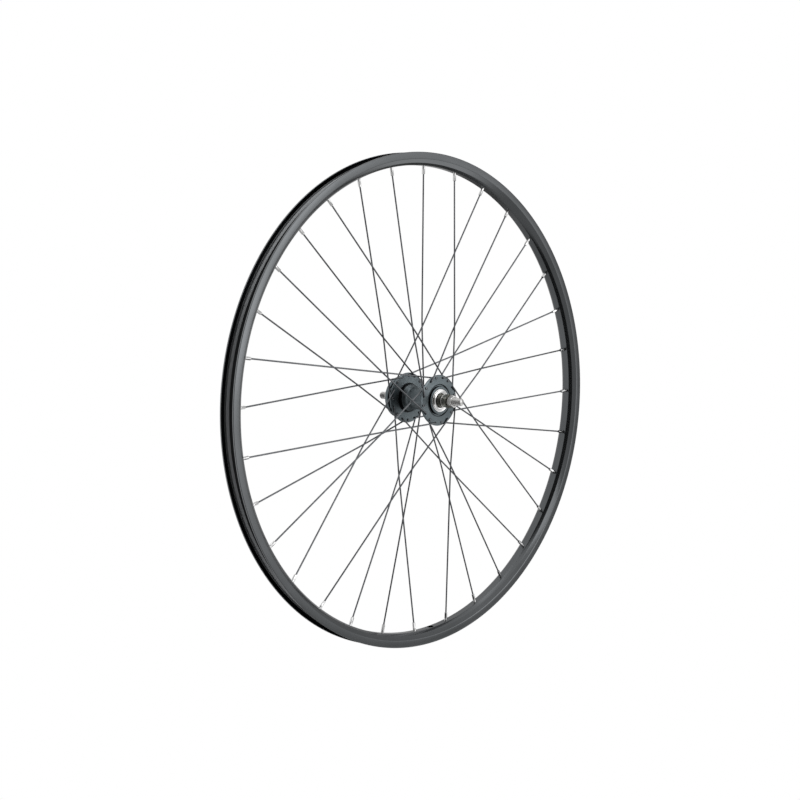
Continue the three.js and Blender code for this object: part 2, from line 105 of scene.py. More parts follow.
NEAR_FLANGE_Y = -31.1
FAR_FLANGE_Y = 23.5
FLANGE_RADIUS = HUB_HIGH[0]
FLANGE_HALF = 1.2
FLANGE_BEVEL = 0.6
SPOKE_CIRCLE = 29.0
SPOKE_HOLE_RADIUS = 1.3
NEAR_END = HUB_LOW[1]
FAR_END = HUB_HIGH[1]
ROTOR_FACE = 39.3
ROTOR_BACK = 33.7
ROTOR_BOLT_CIRCLE = 22.0
ROTOR_BOLT_RADIUS = 2.1
ROTOR_BOLTS = 6
CAP_SEAT = 15.0
CUP_SEAT = 14.3
CAP_SEAT_DEPTH = 1.6
CUP_RADIUS = 14.0
CUP_INBOARD = 3.6
CUP_WIDTH = 6.4
NEAR_BALL_Y = NEAR_END + 4.8
FAR_BALL_Y = FAR_END - 7.4
BALL_RADIUS = 2.38
BALL_PITCH = 9.8
RACE_RADIUS = BALL_RADIUS + 0.35
BALLS = 10
AXLE_RADIUS = 4.75
AXLE_HOLE = 5.05
LOCKNUT_FACE = 50.0
LOCKNUT_HEIGHT = 6.6
LOCK_WASHER_THICKNESS = 1.0
LOCK_WASHER_FACE = LOCKNUT_FACE - LOCKNUT_HEIGHT - GAP
CONE_END = LOCK_WASHER_FACE - LOCK_WASHER_THICKNESS - GAP
AXLE_WASHER_THICKNESS = 1.7
AXLE_NUT_HEIGHT = 7.0

# ------------------------------------------------------------------ mesh helpers


def on_circle(radius, degrees, y):
    a = math.radians(degrees)
    return Vector((radius * math.cos(a), y, radius * math.sin(a)))


def shade_smooth(mesh, sharp=SHARP):
    for face in mesh.polygons:
        face.use_smooth = True
    mesh.set_sharp_from_angle(angle=math.radians(sharp))


def finish_mesh(name, mesh, paint, sharp=SHARP):
    mesh.validate()
    shade_smooth(mesh, sharp)
    mesh.materials.clear()
    mesh.materials.append(paint)
    piece = bpy.data.objects.new(name, mesh)
    bpy.context.scene.collection.objects.link(piece)
    return piece


def grid_mesh(name, rings, closed):
    """Joins rings of points, in millimetres, into one skin: the last ring to the first if closed,
    and with a cap at each end if not."""
    count = len(rings[0])
    points = [p * MM for ring in rings for p in ring]
    faces = []
    last = len(rings) if closed else len(rings) - 1
    for i in range(last):
        j = (i + 1) % len(rings)
        for k in range(count):
            m = (k + 1) % count
            faces.append((i * count + k, i * count + m, j * count + m, j * count + k))
    if not closed:
        faces.append(tuple(reversed(range(count))))
        faces.append(tuple(range((len(rings) - 1) * count, len(rings) * count)))
    mesh = bpy.data.meshes.new(name)
    mesh.from_pydata(points, [], faces)
    face_outwards(mesh)
    return mesh


def face_outwards(mesh):
    work = bmesh.new()
    work.from_mesh(mesh)
    bmesh.ops.recalc_face_normals(work, faces=work.faces)
    if work.calc_volume(signed=True) < 0:
        bmesh.ops.reverse_faces(work, faces=work.faces)
    work.to_mesh(mesh)
    work.free()


def bend(start, corner, end, steps):
    """Points of a smooth curve from one leg of a corner to the other."""
    points = []
    for i in range(steps + 1):
        t = i / steps
        points.append(start * (1 - t) ** 2 + corner * 2 * t * (1 - t) + end * t**2)
    return points


def rounded(section, radius, steps=4):
    """Rounds each corner of a closed outline; a corner may give its own radius as a third value."""
    out = []
    count = len(section)
    for i, corner in enumerate(section):
        here = Vector(corner[:2])
        back = Vector(section[i - 1][:2]) - here
        ahead = Vector(section[(i + 1) % count][:2]) - here
        size = corner[2] if len(corner) > 2 else radius
        reach = min(size, back.length * 0.45, ahead.length * 0.45)
        if reach < 0.01 or abs(back.angle(ahead) - math.pi) < 0.02:
            out.append(tuple(here))
            continue
        a = here + back.normalized() * reach
        b = here + ahead.normalized() * reach
        out += [tuple(p) for p in bend(a, here, b, steps)]
    return out


def turned(name, section, segments):
    """A closed (radius, y) outline turned round the axle."""
    rings = []
    for i in range(segments):
        a = TURN * i / segments
        c, s = math.cos(a), math.sin(a)
        rings.append([Vector((r * c, y, r * s)) for r, y in section])
    return grid_mesh(name, rings, closed=True)


def shaped(name, rows, outline, segments, bore=None):
    """A solid round Y whose radius is outline(angle, y) at each y in rows, with or without a round
    bore."""
    angles = [TURN * k / segments for k in range(segments)]

    def ring(y, radius):
        return [Vector((radius(a) * math.cos(a), y, radius(a) * math.sin(a))) for a in angles]

    rings = [ring(y, lambda a, y=y: outline(a, y)) for y in rows]
    if bore is None:
        return grid_mesh(name, rings, closed=False)
    chamfer = 0.4
    step = chamfer if rows[-1] > rows[0] else -chamfer
    inner = [
        ring(rows[-1], lambda a: bore + chamfer),
        ring(rows[-1] - step, lambda a: bore),
        ring(rows[0] + step, lambda a: bore),
        ring(rows[0], lambda a: bore + chamfer),
    ]
    return grid_mesh(name, rings + inner, closed=True)


def polygon_radius(angle, flats, sides):
    """Distance from the middle of a regular polygon to its side, at an angle."""
    sector = TURN / sides
    inside = (angle + sector / 2) % sector - sector / 2
    return flats / 2 / math.cos(inside)


def swept(name, path, radii, sides=16):
    """A round bar along a path, with a radius at each point."""
    rings = []
    tangent = (path[1] - path[0]).normalized()
    normal = tangent.orthogonal().normalized()
    for i, point in enumerate(path):
        if i == 0:
            ahead = path[1] - path[0]
        elif i == len(path) - 1:
            ahead = path[-1] - path[-2]
        else:
            ahead = path[i + 1] - path[i - 1]
        if ahead.length > 1e-6:
            turn = tangent.rotation_difference(ahead.normalized())
            normal = turn @ normal
            tangent = ahead.normalized()
        across = tangent.cross(normal)
        rings.append(
            [
                point + (normal * math.cos(a) + across * math.sin(a)) * radii[i]
                for a in (TURN * k / sides for k in range(sides))
            ]
        )
    return grid_mesh(name, rings, closed=False)


def laid_along(mesh, origin, along):
    """Moves a mesh made round +Y at the origin to a point, and turns it to a direction."""
    turn = Vector((0, 1, 0)).rotation_difference(along).to_matrix().to_4x4()
    mesh.transform(Matrix.Translation(origin * MM) @ turn)


def bar_mesh(radius, start, end, sides=24):
    along = end - start
    return swept("cutter", [start, start + along * 0.5, end], [radius] * 3, sides)


def cut(piece, cutters):
    """Cuts a set of closed meshes out of a piece."""
    joined = bmesh.new()
    for cutter in cutters:
        joined.from_mesh(cutter)
    tool_mesh = bpy.data.meshes.new("cutters")
    joined.to_mesh(tool_mesh)
    joined.free()
    tool = bpy.data.objects.new("cutters", tool_mesh)
    bpy.context.scene.collection.objects.link(tool)
    modifier = piece.modifiers.new("holes", "BOOLEAN")
    modifier.operation = "DIFFERENCE"
    modifier.solver = "EXACT"
    modifier.object = tool
    bpy.context.view_layer.update()
    graph = bpy.context.evaluated_depsgraph_get()
    result = bpy.data.meshes.new_from_object(piece.evaluated_get(graph))
    piece.modifiers.clear()
    old = piece.data
    piece.data = result
    bpy.data.meshes.remove(old)
    bpy.data.objects.remove(tool)
    bpy.data.meshes.remove(tool_mesh)
    shade_smooth(piece.data)


def place(piece, body, slot, *nodes):
    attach(piece, body)
    if nodes:
        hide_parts(*nodes)


# ------------------------------------------------------------------ material helpers


class Paint:
    """A small builder for a node material round one Principled shader."""

    def __init__(self, name, metallic, roughness, color):
        self.material = bpy.data.materials.new(name)
        self.material.use_nodes = True
        self.tree = self.material.node_tree
        self.shader = self.tree.nodes["Principled BSDF"]
        self.shader.inputs["Metallic"].default_value = metallic
        self.shader.inputs["Roughness"].default_value = roughness
        self.shader.inputs["Base Color"].default_value = (*color, 1)
        self.place = self.add("ShaderNodeTexCoord").outputs["Object"]

    def add(self, kind, **values):
        node = self.tree.nodes.new(kind)
        for key, value in values.items():
            setattr(node, key, value)
        return node

    def link(self, source, target):
        self.tree.links.new(source, target)

    def math(self, operation, a, b=None):
        node = self.add("ShaderNodeMath", operation=operation)
        for socket, value in zip(node.inputs, (a, b)):
            if value is None:
                continue
            if isinstance(value, (int, float)):
                socket.default_value = value
            else:
                self.link(value, socket)
        return node.outputs[0]

    def noise(self, scale, detail=3.0, roughness=0.55, at=None):
        node = self.add("ShaderNodeTexNoise")
        node.inputs["Scale"].default_value = scale
        node.inputs["Detail"].default_value = detail
        node.inputs["Roughness"].default_value = roughness
        self.link(at or self.place, node.inputs["Vector"])
        return node.outputs["Fac"]

    def blend(self, a, b, share_a, share_b):
        part_a = self.math("MULTIPLY", a, share_a)
        return self.math("ADD", part_a, self.math("MULTIPLY", b, share_b))

    def spread(self, value, low, high, start=0.3, end=0.7):
        """Maps start..end to low..high; the default ends suit a noise."""
        node = self.add("ShaderNodeMapRange")
        node.inputs["From Min"].default_value = start
        node.inputs["From Max"].default_value = end
        node.inputs["To Min"].default_value = low
        node.inputs["To Max"].default_value = high
        self.link(value, node.inputs["Value"])
        return node.outputs["Result"]

    def mix(self, factor, a, b):
        node = self.add("ShaderNodeMix", data_type="RGBA")
        node.inputs["A"].default_value = (*a, 1)
        if isinstance(b, tuple):
            node.inputs["B"].default_value = (*b, 1)
        else:
            self.link(b, node.inputs["B"])
        self.link(factor, node.inputs["Factor"])
        return node.outputs["Result"]

    def over(self, mask, color, under):
        """A colour laid over another wherever a mask is 1."""
        return self.mix(self.math("SUBTRACT", 1.0, mask), color, under)

    def color(self, source):
        self.link(source, self.shader.inputs["Base Color"])

    def rough(self, source):
        self.link(source, self.shader.inputs["Roughness"])

    def bump(self, height, strength, distance):
        node = self.add("ShaderNodeBump")
        node.inputs["Strength"].default_value = strength
        node.inputs["Distance"].default_value = distance
        self.link(height, node.inputs["Height"])
        self.link(node.outputs["Normal"], self.shader.inputs["Normal"])

    def within(self, value, low, high, soft):
        """1 where a value lies between two others, with soft ends."""
        rise = self.spread(value, 0, 1, low - soft, low + soft)
        fall = self.spread(value, 1, 0, high - soft, high + soft)
        return self.math("MULTIPLY", rise, fall)

    def round_axle(self):
        """Coordinates that run round the axle: radius, angle and distance along it."""
        parts = self.add("ShaderNodeSeparateXYZ")
        self.link(self.place, parts.inputs[0])
        x, y, z = parts.outputs
        squares = self.math("ADD", self.math("MULTIPLY", x, x), self.math("MULTIPLY", z, z))
        radius = self.math("SQRT", squares)
        angle = self.math("ARCTAN2", z, x)
        return radius, angle, y

    def combine(self, x, y, z):
        node = self.add("ShaderNodeCombineXYZ")
        for socket, value in zip(node.inputs, (x, y, z)):
            if isinstance(value, (int, float)):
                socket.default_value = value
            else:
                self.link(value, socket)
        return node.outputs[0]


def lathe_lines(paint, stretch=1.2):
    """Fine marks that run round the axle, as turning or polishing leaves them."""
    radius, angle, along = paint.round_axle()
    fine = 900
    across = paint.math("MULTIPLY", radius, fine)
    where = paint.combine(across, angle, paint.math("MULTIPLY", along, fine))
    return paint.noise(stretch, 4, 0.6, where)


def rim_paint():
    """Black anodising over brushed aluminium, with painted light: painted shade turns the channel
    walls black, the bead seat is painted lighter as if lit, and a painted highlight runs along the
    hooks' tops.
    """
    paint = Paint("rim_black_anodised", 0.92, 0.28, (0.12, 0.125, 0.13))
    cloud = paint.noise(9, 3)
    lines = lathe_lines(paint)
    radius, _, along = paint.round_axle()
    offset = paint.math("ABSOLUTE", paint.math("SUBTRACT", along, RIM_Y * MM))
    channel = paint.math("LESS_THAN", offset, (RIM_WIDTH / 2 - 1.0) * MM)
    # painted shade: the hooks' inner walls in the channel are painted near black for the shade that
    # falls there
    channel_shade = paint.within(radius, (BEAD_RADIUS + 0.3) * MM, (RIM_RADIUS - 0.8) * MM, 0.0002)
    channel_shade = paint.math("MULTIPLY", channel_shade, channel)
    seat = paint.within(radius, (WELL_RADIUS + 0.1) * MM, (BEAD_RADIUS + 0.3) * MM, 0.0002)
    seat = paint.math("MULTIPLY", seat, channel)
    tone = paint.mix(paint.spread(cloud, 0, 1), (0.100, 0.106, 0.110), (0.130, 0.136, 0.142))
    # painted light: the bead seat and well flank are painted lighter, as if lit
    tone = paint.over(seat, (0.30, 0.31, 0.32), tone)
    # painted highlight: a lighter band along the tops of the hooks
    top = paint.math("GREATER_THAN", radius, (RIM_RADIUS - 0.35) * MM)
    middle = paint.math("LESS_THAN", offset, (RIM_WIDTH / 2 - 0.7) * MM)
    hook_top_highlight = paint.math("MULTIPLY", top, middle)
    tone = paint.over(hook_top_highlight, (0.24, 0.25, 0.26), tone)
    paint.color(paint.over(channel_shade, (0.01, 0.011, 0.012), tone))
    polish = paint.spread(paint.blend(cloud, lines, 0.5, 0.5), 0.12, 0.19)
    paint.rough(paint.math("ADD", polish, paint.math("MULTIPLY", seat, 0.3)))
    paint.bump(paint.blend(lines, paint.noise(2600, 2), 0.6, 0.4), 0.08, 0.00006)
    return paint.material


def tape_paint():
    """Woven polyester tape with a dark seam along its middle."""
    paint = Paint("tape_weave", 0, 0.8, (0.01, 0.0105, 0.011))
    paint.shader.inputs["Specular IOR Level"].default_value = 0.15
    _, angle, along = paint.round_axle()
    warp = paint.math("SINE", paint.math("MULTIPLY", along, 9000))
    weft = paint.math("SINE", paint.math("MULTIPLY", angle, 2800))
    weave = paint.math("MULTIPLY", warp, weft)
    seam = paint.math("ABSOLUTE", paint.math("SUBTRACT", along, RIM_Y * MM))
    line = paint.spread(seam, 0, 1, 0.00012, 0.00035)
    shade = paint.math("MULTIPLY", paint.spread(weave, 0.75, 1.0, -1, 1), line)
    paint.color(paint.mix(shade, (0.004, 0.004, 0.005), (0.011, 0.012, 0.013)))
    paint.bump(weave, 0.5, 0.00005)
    return paint.material


def spoke_paint():
    """Drawn stainless wire, with faint marks along its length."""
    paint = Paint("spoke_stainless", 1.0, 0.28, (0.13, 0.13, 0.135))
    marks = paint.noise(1400, 2)
    slow = paint.noise(60, 2)
    paint.color(paint.mix(paint.spread(slow, 0, 1), (0.115, 0.120, 0.128), (0.165, 0.171, 0.180)))
    paint.rough(paint.spread(marks, 0.20, 0.36))
    paint.bump(marks, 0.2, 0.00003)
    return paint.material


def nipple_paint():
    """Nickel plate with small tool marks."""
    paint = Paint("nipple_nickel", 1.0, 0.2, (0.8, 0.79, 0.77))
    marks = paint.noise(900, 3)
    paint.color(paint.mix(paint.spread(marks, 0, 1), (0.64, 0.64, 0.64), (0.86, 0.86, 0.86)))
    paint.rough(paint.spread(paint.noise(350, 2), 0.12, 0.3))
    paint.bump(marks, 0.25, 0.00004)
    return paint.material


def hub_paint():
    """Blue-grey anodising over a turned forging, with painted shade: black bands in its grooves and
    round its flange roots.
    """
    paint = Paint("hub_anodised", 0.95, 0.3, (0.10, 0.117, 0.13))
    cloud = paint.noise(45, 3)
    lines = lathe_lines(paint, 1.6)
    radius, _, along = paint.round_axle()
    # each painted shade band's least and greatest radius, and its two ends along the axle: the neck
    # behind the disc mount, the two flange roots and the near boss's groove
    painted_shade_bands = (
        (0.0, 30.0, FAR_FLANGE_Y + FLANGE_HALF, 33.6),
        (0.0, 19.4, 17.4, FAR_FLANGE_Y - FLANGE_HALF + 0.2),
        (0.0, 19.4, NEAR_FLANGE_Y + FLANGE_HALF - 0.2, -26.4),
        (16.8, 20.6, NEAR_END + 0.35, NEAR_FLANGE_Y - 0.5),
    )
    dark = None
    for inside, outside, start, end in painted_shade_bands:
        ring = paint.math("LESS_THAN", radius, outside * MM)
        ring = paint.math("MULTIPLY", ring, paint.math("GREATER_THAN", radius, inside * MM))
        ring = paint.math("MULTIPLY", ring, paint.within(along, start * MM, end * MM, 0.0002))
        dark = ring if dark is None else paint.math("MAXIMUM", dark, ring)
    tone = paint.mix(paint.spread(cloud, 0, 1), (0.118, 0.140, 0.151), (0.160, 0.187, 0.199))
    # painted shade: near black laid over the bands, where the hub lies in shade between its flanges
    # and in its grooves
    paint.color(paint.over(dark, (0.012, 0.013, 0.015), tone))
    paint.rough(paint.spread(lines, 0.28, 0.42))
    paint.bump(paint.blend(lines, paint.noise(3200, 2), 0.7, 0.3), 0.3, 0.00005)
    return paint.material


def steel_paint(name, dark, light, rough):
    """Turned steel: marks round the axle and slow changes of tone."""
    paint = Paint(name, 1.0, sum(rough) / 2, light)
    lines = lathe_lines(paint, 2.0)
    cloud = paint.noise(120, 3)
    paint.color(paint.mix(paint.spread(cloud, 0, 1), dark, light))
    paint.rough(paint.spread(lines, *rough))
    paint.bump(lines, 0.3, 0.00004)
    return paint.material


PAINTS = {
    "rim": rim_paint(),
    "tape": tape_paint(),
    "spoke": spoke_paint(),
    "nipple": nipple_paint(),
    "hub": hub_paint(),
    "race": steel_paint("race_steel", (0.42, 0.42, 0.42), (0.6, 0.6, 0.6), (0.12, 0.25)),
    "cap": steel_paint("cap_bright", (0.78, 0.78, 0.78), (0.9, 0.9, 0.9), (0.08, 0.18)),
    "dark": steel_paint(
        "cone_dark_zinc", (0.12, 0.12, 0.105), (0.20, 0.197, 0.175), (0.25, 0.42)
    ),
    "locknut": steel_paint(
        "locknut_olive_zinc", (0.36, 0.36, 0.32), (0.50, 0.50, 0.45), (0.22, 0.38)
    ),
    "axle": steel_paint("axle_zinc", (0.56, 0.555, 0.545), (0.70, 0.695, 0.685), (0.25, 0.4)),
}

# ------------------------------------------------------------------ rim and tape


def mirrored(half):
    return half + [(p[0], -p[1], *p[2:]) for p in reversed(half)]


def rim_outline():
    """The rim's section as (radius, offset from its middle, corner radius)."""
    half_width = RIM_WIDTH / 2
    inner = half_width - HOOK_WIDTH
    return mirrored(
        [
            (BED_RADIUS, 4.6, 0.6),
            (BED_RADIUS + 2.85, 8.9, 0.5),
            (RIM_RADIUS - 9, half_width, 0.6),
            (RIM_RADIUS, half_width, 0.7),
            (RIM_RADIUS, inner - 0.5, 0.35),
            (RIM_RADIUS - 2.5, inner, 0.8),
            (BEAD_RADIUS, inner, 0.8),
            (BEAD_RADIUS, WELL_HALF + 1.6, 0.8),
            (WELL_RADIUS, WELL_HALF, 0.8),
        ]
    )


def rim_hollow():
    """The closed space inside the rim, in the same terms."""
    half_width = RIM_WIDTH / 2
    return mirrored(
        [
            (BED_RADIUS + RIM_WALL, 4.0, 0.6),
            (BED_RADIUS + 3.9, 7.7, 0.6),
            (RIM_RADIUS - 8.4, half_width - 1.8, 0.6),
            (WELL_RADIUS - RIM_WALL, WELL_HALF + 0.4, 0.6),
        ]
    )


def shifted(section, dy):
    return [(r, y + dy) for r, y in section]


def valve_cutter():
    return bar_mesh(
        VALVE_RADIUS,
        on_circle(BED_RADIUS - 3, VALVE_ANGLE, RIM_Y),
        on_circle(RIM_RADIUS, VALVE_ANGLE, RIM_Y),
        32,
    )


def build_rim(laces):
    segments = 384
    outside = turned("rim", shifted(rounded(rim_outline(), 0.8), RIM_Y), segments)
    piece = finish_mesh("rim_extrusion", outside, PAINTS["rim"])
    hollow = turned("hollow", shifted(rounded(rim_hollow(), 0.6, 2), RIM_Y), segments)
    cutters = []
    for lace in laces:
        start = lace["seat"] - lace["along"] * 3
        end = lace["seat"] + lace["along"] * (RIM_WALL + 1.2)
        cutters.append(bar_mesh(NIPPLE_RADIUS + 0.35, start, end))
        low = on_circle(WELL_RADIUS - RIM_WALL - 1, lace["rim_deg"], RIM_Y)
        high = on_circle(WELL_RADIUS + 1.5, lace["rim_deg"], RIM_Y)
        cutters.append(bar_mesh(ACCESS_RADIUS, low, high, 20))
    cut(piece, [hollow])
    cut(piece, cutters + [valve_cutter()])
    place(piece, "wheel", "rim", "rim")


def build_tape():
    inner = WELL_RADIUS + GAP
    section = [
        (inner, -TAPE_HALF),
        (inner + TAPE_THICKNESS, -TAPE_HALF),
        (inner + TAPE_THICKNESS, TAPE_HALF),
        (inner, TAPE_HALF),
    ]
    mesh = turned("tape", shifted(rounded(section, 0.2, 3), RIM_Y), 256)
    piece = finish_mesh("rim_tape_band", mesh, PAINTS["tape"])
    cut(piece, [valve_cutter()])
    place(piece, "wheel", "rim_tape", "rim_tape")


# ------------------------------------------------------------------ spokes and nipples


def flat_lace():
    """A spoke's flange hole and its way to the rim, seen along the axle with its rim hole at 0."""
    lead = math.radians(HUB_LEAD)
    hole = Vector((math.cos(lead), math.sin(lead))) * SPOKE_CIRCLE
    return hole, (Vector((BED_RADIUS, 0)) - hole).normalized()


def run_to(radius):
    """How far a spoke has run from its flange hole when it reaches a radius."""
    hole, to_rim = flat_lace()
    passing = abs(hole.cross(to_rim))
    return math.sqrt(radius**2 - passing**2) - hole.dot(to_rim)


def crossing_radius():
    """The radius at which a spoke crosses its last one, whose nipple is two steps further round."""
    hole, to_rim = flat_lace()
    foot = math.atan2(to_rim.x, -to_rim.y)
    return abs(hole.cross(to_rim)) / math.cos(foot - math.radians(SPOKE_STEP))


def lean_allowance(flange_y):
    """How much further out an outer spoke starts, so that its lean clears the flange's edge."""
    slope = abs(flange_y - RIM_Y) / BED_RADIUS + WEAVE_RISE / run_to(crossing_radius())
    at_flat = slope * run_to(SPOKE_CIRCLE + SPOKE_HOLE_RADIUS)
    at_edge = slope * run_to(FLANGE_RADIUS) - FLANGE_BEVEL
    return max(at_flat, at_edge, 0)


def lace_of(index):
    """Where one spoke runs: from its flange, past the spoke that it is woven with, to the rim."""
    plain_side = index % 2 == 0
    leading = (index // 2) % 2 == 0
    way = 1 if leading else -1
    rim_deg = FIRST_HOLE + index * SPOKE_STEP
    hub_deg = rim_deg + way * HUB_LEAD
    flange_y = NEAR_FLANGE_Y if plain_side else FAR_FLANGE_Y
    outboard = -1 if plain_side else 1
    run = outboard if leading else -outboard
    offset = FLANGE_HALF + GAP + SPOKE_RADIUS + (lean_allowance(flange_y) if leading else 0)
    elbow = on_circle(SPOKE_CIRCLE, hub_deg, flange_y + run * offset)
    head = on_circle(SPOKE_CIRCLE, hub_deg, flange_y - run * (FLANGE_HALF + GAP))
    seat = on_circle(BED_RADIUS, rim_deg, RIM_Y)
    middle = flange_y + (RIM_Y - flange_y) * run_to(crossing_radius()) / run_to(BED_RADIUS)
    weave = on_circle(crossing_radius(), rim_deg + way * SPOKE_STEP, middle - run * WEAVE_OFFSET)
    return {
        "rim_deg": rim_deg,
        "hub_deg": hub_deg,
        "flange_y": flange_y,
        "run": run,
        "elbow": elbow,
        "head": head,
        "weave": weave,
        "seat": seat,
        "along": (seat - weave).normalized(),
    }


def spoke_path(lace):
    """Head, shank through the flange, elbow and long run, with a radius at each point."""
    out = Vector((0, -lace["run"], 0))
    path = []
    radii = []
    # distance from the head's seat and radius there
    head_profile = [
        (0.95, 0.9),
        (0.88, 1.35),
        (0.7, 1.62),
        (0.45, 1.8),
        (0.2, 1.85),
        (0.05, 1.75),
        (-0.12, 1.12),
        (-GAP, SPOKE_RADIUS),
    ]
    for height, radius in head_profile:
        path.append(lace["head"] + out * height)
        radii.append(radius)
    reach = min(ELBOW_BEND, (lace["elbow"] - lace["head"]).length - 0.5)
    start = lace["elbow"] + out * reach
    leave = (lace["weave"] - lace["elbow"]).normalized()
    end = lace["elbow"] + leave * reach
    path += bend(start, lace["elbow"], end, 12)
    before = lace["weave"] - leave * WEAVE_BEND
    after = lace["weave"] + lace["along"] * WEAVE_BEND
    finish = lace["seat"] - lace["along"] * (NIPPLE_LENGTH - 4)
    path += [end.lerp(before, i / 4) for i in range(1, 4)]
    path += bend(before, lace["weave"], after, 6)
    path += [after.lerp(finish, i / 6) for i in range(1, 7)]
    radii += [SPOKE_RADIUS] * (len(path) - len(radii))
    return path, radii


def nipple_mesh():
    """A nipple round +Y whose zero is at the rim's wall: square below, round above, domed head."""
    rows = [
        (-NIPPLE_LENGTH, 1.45, False),
        (-NIPPLE_LENGTH + 0.15, 1.7, False),
        (-NIPPLE_LENGTH + 0.5, 1.95, True),
        (-NIPPLE_LENGTH + 0.8, NIPPLE_RADIUS + 0.08, True),
        (-4.2, NIPPLE_RADIUS + 0.08, True),
        (-3.7, NIPPLE_RADIUS, False),
        (-3.5, NIPPLE_RADIUS - 0.03, False),
        (1.8, NIPPLE_RADIUS - 0.03, False),
        (2.25, 2.2, False),
        (2.75, 2.8, False),
        (3.1, 2.9, False),
        (4.0, 2.85, False),
        (4.45, 2.4, False),
        (4.65, 1.6, False),
    ]
    table = {y: (radius, flat) for y, radius, flat in rows}

    def outline(angle, y):
        radius, flat = table[y]
        if not flat:
            return radius
        return min(radius, polygon_radius(angle, NIPPLE_FLATS, 4))

    return shaped("nipple", [row[0] for row in rows], outline, 32, bore=1.06)


def build_spokes(laces):
    for index, lace in enumerate(laces):
        number = f"{index + 1:02d}"
        path, radii = spoke_path(lace)
        bar = swept("wire", path, radii)
        wire = finish_mesh(f"spoke_wire_{number}", bar, PAINTS["spoke"], 50)
        place(wire, "wheel", "spoke", f"spoke_{number}")
        mesh = nipple_mesh()
        mesh.transform(Matrix.Rotation(random.uniform(0, TURN), 4, "Y"))
        laid_along(mesh, lace["seat"], lace["along"])
        nipple = finish_mesh(f"nipple_{number}", mesh, PAINTS["nipple"], 30)
        place(nipple, "wheel", "bright_metal")


# ------------------------------------------------------------------ hub shell


def flange_edge(flange_y):
    flat = SPOKE_CIRCLE + SPOKE_HOLE_RADIUS
    return [
        (flat, flange_y - FLANGE_HALF, 0.8),
        (FLANGE_RADIUS, flange_y - FLANGE_HALF + FLANGE_BEVEL, 0.35),
        (FLANGE_RADIUS, flange_y + FLANGE_HALF - FLANGE_BEVEL, 0.35),
        (flat, flange_y + FLANGE_HALF, 0.8),
    ]


def hub_outline():
    """The hub's section as (radius, y, corner radius), from the near end round to the bore."""
    near_outer = NEAR_FLANGE_Y - FLANGE_HALF
    near_inner = NEAR_FLANGE_Y + FLANGE_HALF
    far_inner = FAR_FLANGE_Y - FLANGE_HALF
    far_outer = FAR_FLANGE_Y + FLANGE_HALF
    boss = 18.15
    root = 18.5
    barrel = 14.0
    neck = 19.0
    mount = 26.5
    spigot = 17.6
    bore = 7.5
    inboard = CUP_INBOARD + GAP
    return [
        (CAP_SEAT, NEAR_END, 0.25),
        (boss, NEAR_END, 1.6),
        (boss, near_outer + 1.0, 0.2),
        (boss + 1.7, near_outer + 1.0, 0.2),
        (boss + 1.7, near_outer - 0.5, 0.15),
        (boss + 2.6, near_outer - 0.5, 0.3),
        (boss + 2.9, near_outer, 0.4),
        *flange_edge(NEAR_FLANGE_Y),
        (root + 0.8, near_inner, 0.8),
        (root, near_inner + 0.8, 0.3),
        (root, near_inner + 3.4, 0.8),
        (barrel, near_inner + 9.9, 3.0),
        (barrel, far_inner - 9.9, 3.0),
        (root, far_inner - 3.4, 0.8),
        (root, far_inner - 0.8, 0.3),
        (root + 0.8, far_inner, 0.8),
        *flange_edge(FAR_FLANGE_Y),
        (neck + 1.5, far_outer, 1.0),
        (neck, far_outer + 1.5, 0.6),
        (neck, ROTOR_BACK, 0.5),
        (mount - 0.6, ROTOR_BACK, 0.3),
        (mount, 34.3, 0.3),
        (mount, ROTOR_FACE - 0.5, 0.2),
        (mount - 0.5, ROTOR_FACE, 0.2),
        (spigot, ROTOR_FACE, 0.2),
        (spigot, FAR_END, 0.4),
        (CAP_SEAT, FAR_END, 0.25),
        (CAP_SEAT, FAR_END - CAP_SEAT_DEPTH, 0.1),
        (CUP_SEAT, FAR_END - CAP_SEAT_DEPTH, 0.1),
        (CUP_SEAT, FAR_BALL_Y - inboard, 0.3),
        (bore, FAR_BALL_Y - inboard, 0.3),
        (bore, NEAR_BALL_Y + inboard, 0.3),
        (CUP_SEAT, NEAR_BALL_Y + inboard, 0.3),
        (CUP_SEAT, NEAR_END + CAP_SEAT_DEPTH, 0.1),
        (CAP_SEAT, NEAR_END + CAP_SEAT_DEPTH, 0.1),
    ]


def hole_cutter(centre, radius, half, sink):
    """A drill along Y with a countersink at both ends."""
    up = Vector((0, 1, 0))
    wide = radius + sink + 1
    stops = [(-half - 1, wide), (-half + sink, radius), (half - sink, radius), (half + 1, wide)]
    path = [centre + up * y for y, _ in stops]
    return swept("drill", path, [r for _, r in stops], 24)


def build_hub(laces):
    mesh = turned("hub", rounded(hub_outline(), 0.4), 160)
    piece = finish_mesh("hub_shell_turned", mesh, PAINTS["hub"])
    cutters = []
    for lace in laces:
        centre = on_circle(SPOKE_CIRCLE, lace["hub_deg"], lace["flange_y"])
        cutters.append(hole_cutter(centre, SPOKE_HOLE_RADIUS, FLANGE_HALF, 0.3))
    mount_middle = (ROTOR_BACK + ROTOR_FACE) / 2
    mount_half = (ROTOR_FACE - ROTOR_BACK) / 2
    for i in range(ROTOR_BOLTS):
        centre = on_circle(ROTOR_BOLT_CIRCLE, (i + 0.5) * 360 / ROTOR_BOLTS, mount_middle)
        cutters.append(hole_cutter(centre, ROTOR_BOLT_RADIUS, mount_half, 0.5))
    cut(piece, cutters)
    place(piece, "wheel", "hub", "hub_shell")


# ------------------------------------------------------------------ bearings and axle stack


def race(ball_y, out, start, end):
    """Part of a ball track's round section, between two angles in degrees."""
    points = []
    steps = 8
    for i in range(steps + 1):
        a = math.radians(start + (end - start) * i / steps)
        radius = BALL_PITCH + RACE_RADIUS * math.cos(a)
        points.append((radius, ball_y - out * RACE_RADIUS * math.sin(a), 0))
    return points


